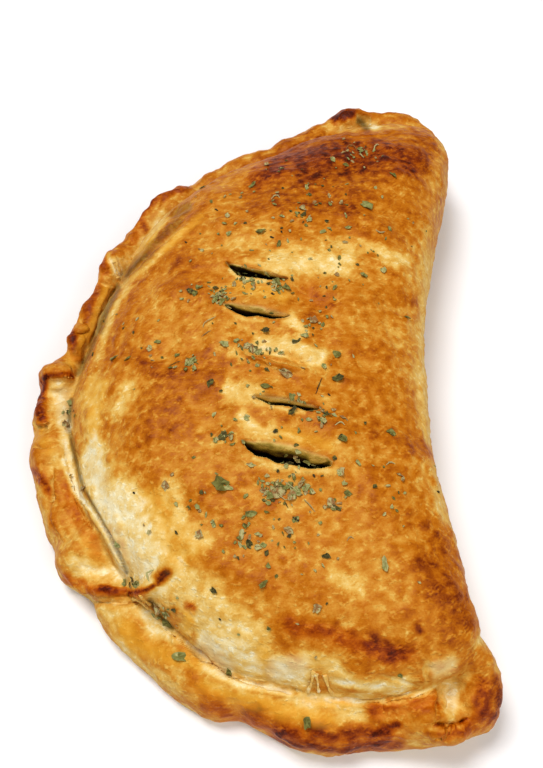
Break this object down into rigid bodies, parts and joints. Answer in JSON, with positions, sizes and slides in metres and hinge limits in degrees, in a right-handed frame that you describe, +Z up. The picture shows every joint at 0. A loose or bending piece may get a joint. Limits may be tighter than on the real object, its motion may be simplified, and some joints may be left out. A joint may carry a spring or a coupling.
{
  "type": "calzone",
  "caption": "Whole baked calzone: a half-moon of browned dough folded over its filling, rolled shut along the rim, slashed across the top and strewn with dried herbs.",
  "frame": {"origin": "on the surface the calzone lies on, under the middle of its bounding box", "axes": "+X towards the smooth fold, -X towards the rolled rim, +Y along the length towards the narrower tip, +Z up"},
  "size_m": [0.1816, 0.2992, 0.0608],
  "materials": {
    "crust": "satin"
  },
  "bodies": {
    "root": {"crust": "crust"}
  },
  "joints": []
}
